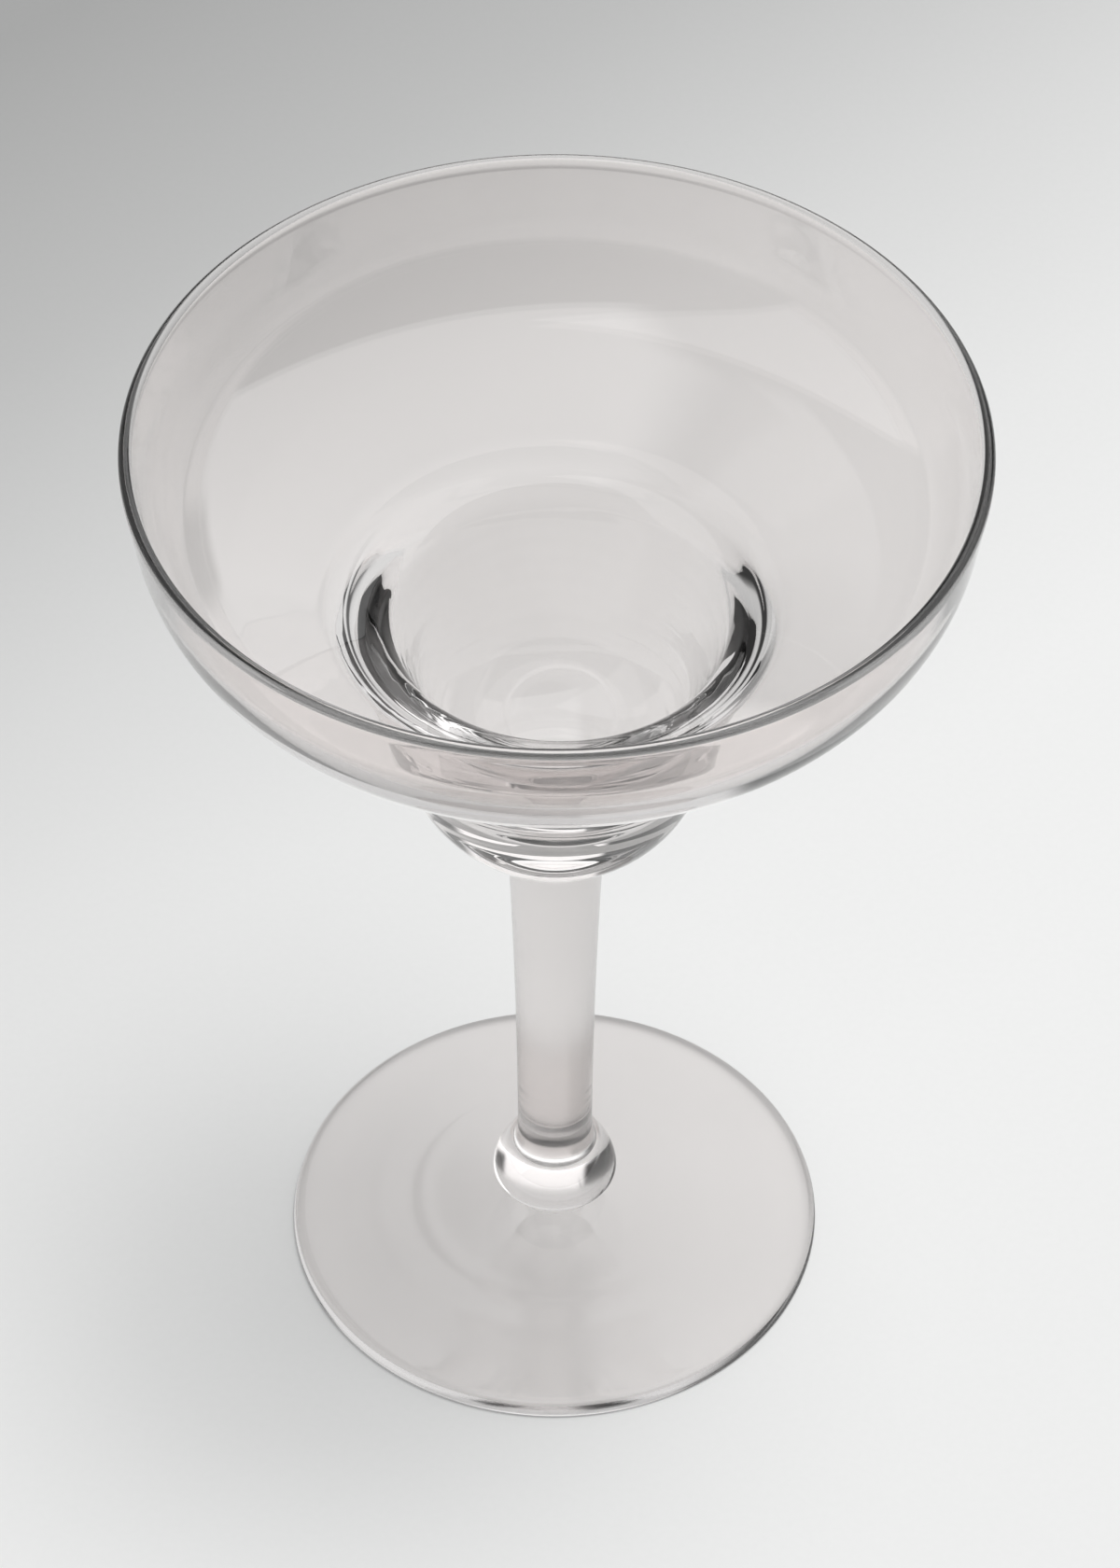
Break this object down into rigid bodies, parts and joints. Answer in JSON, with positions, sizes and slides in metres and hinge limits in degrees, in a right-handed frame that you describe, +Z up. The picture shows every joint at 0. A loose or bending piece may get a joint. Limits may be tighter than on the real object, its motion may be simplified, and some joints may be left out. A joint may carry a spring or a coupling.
{
  "type": "coupette glass",
  "caption": "Clear stemmed cocktail glass: wide shallow bowl stepping down to a narrow round-bottomed well, on a solid tapered stem, a squat knop and a flat round foot.",
  "frame": {"origin": "on the glass's axis, in the plane that the foot rests on", "axes": "+Z up along the axis from the foot to the rim; X and Y are free, because the glass is round"},
  "size_m": [0.1174, 0.1174, 0.16],
  "materials": {
    "clear_glass": "fire-polished, clear, very slightly warm grey"
  },
  "bodies": {
    "root": {"bowl": "clear_glass", "stem": "clear_glass", "knop": "clear_glass", "foot": "clear_glass"}
  },
  "joints": []
}
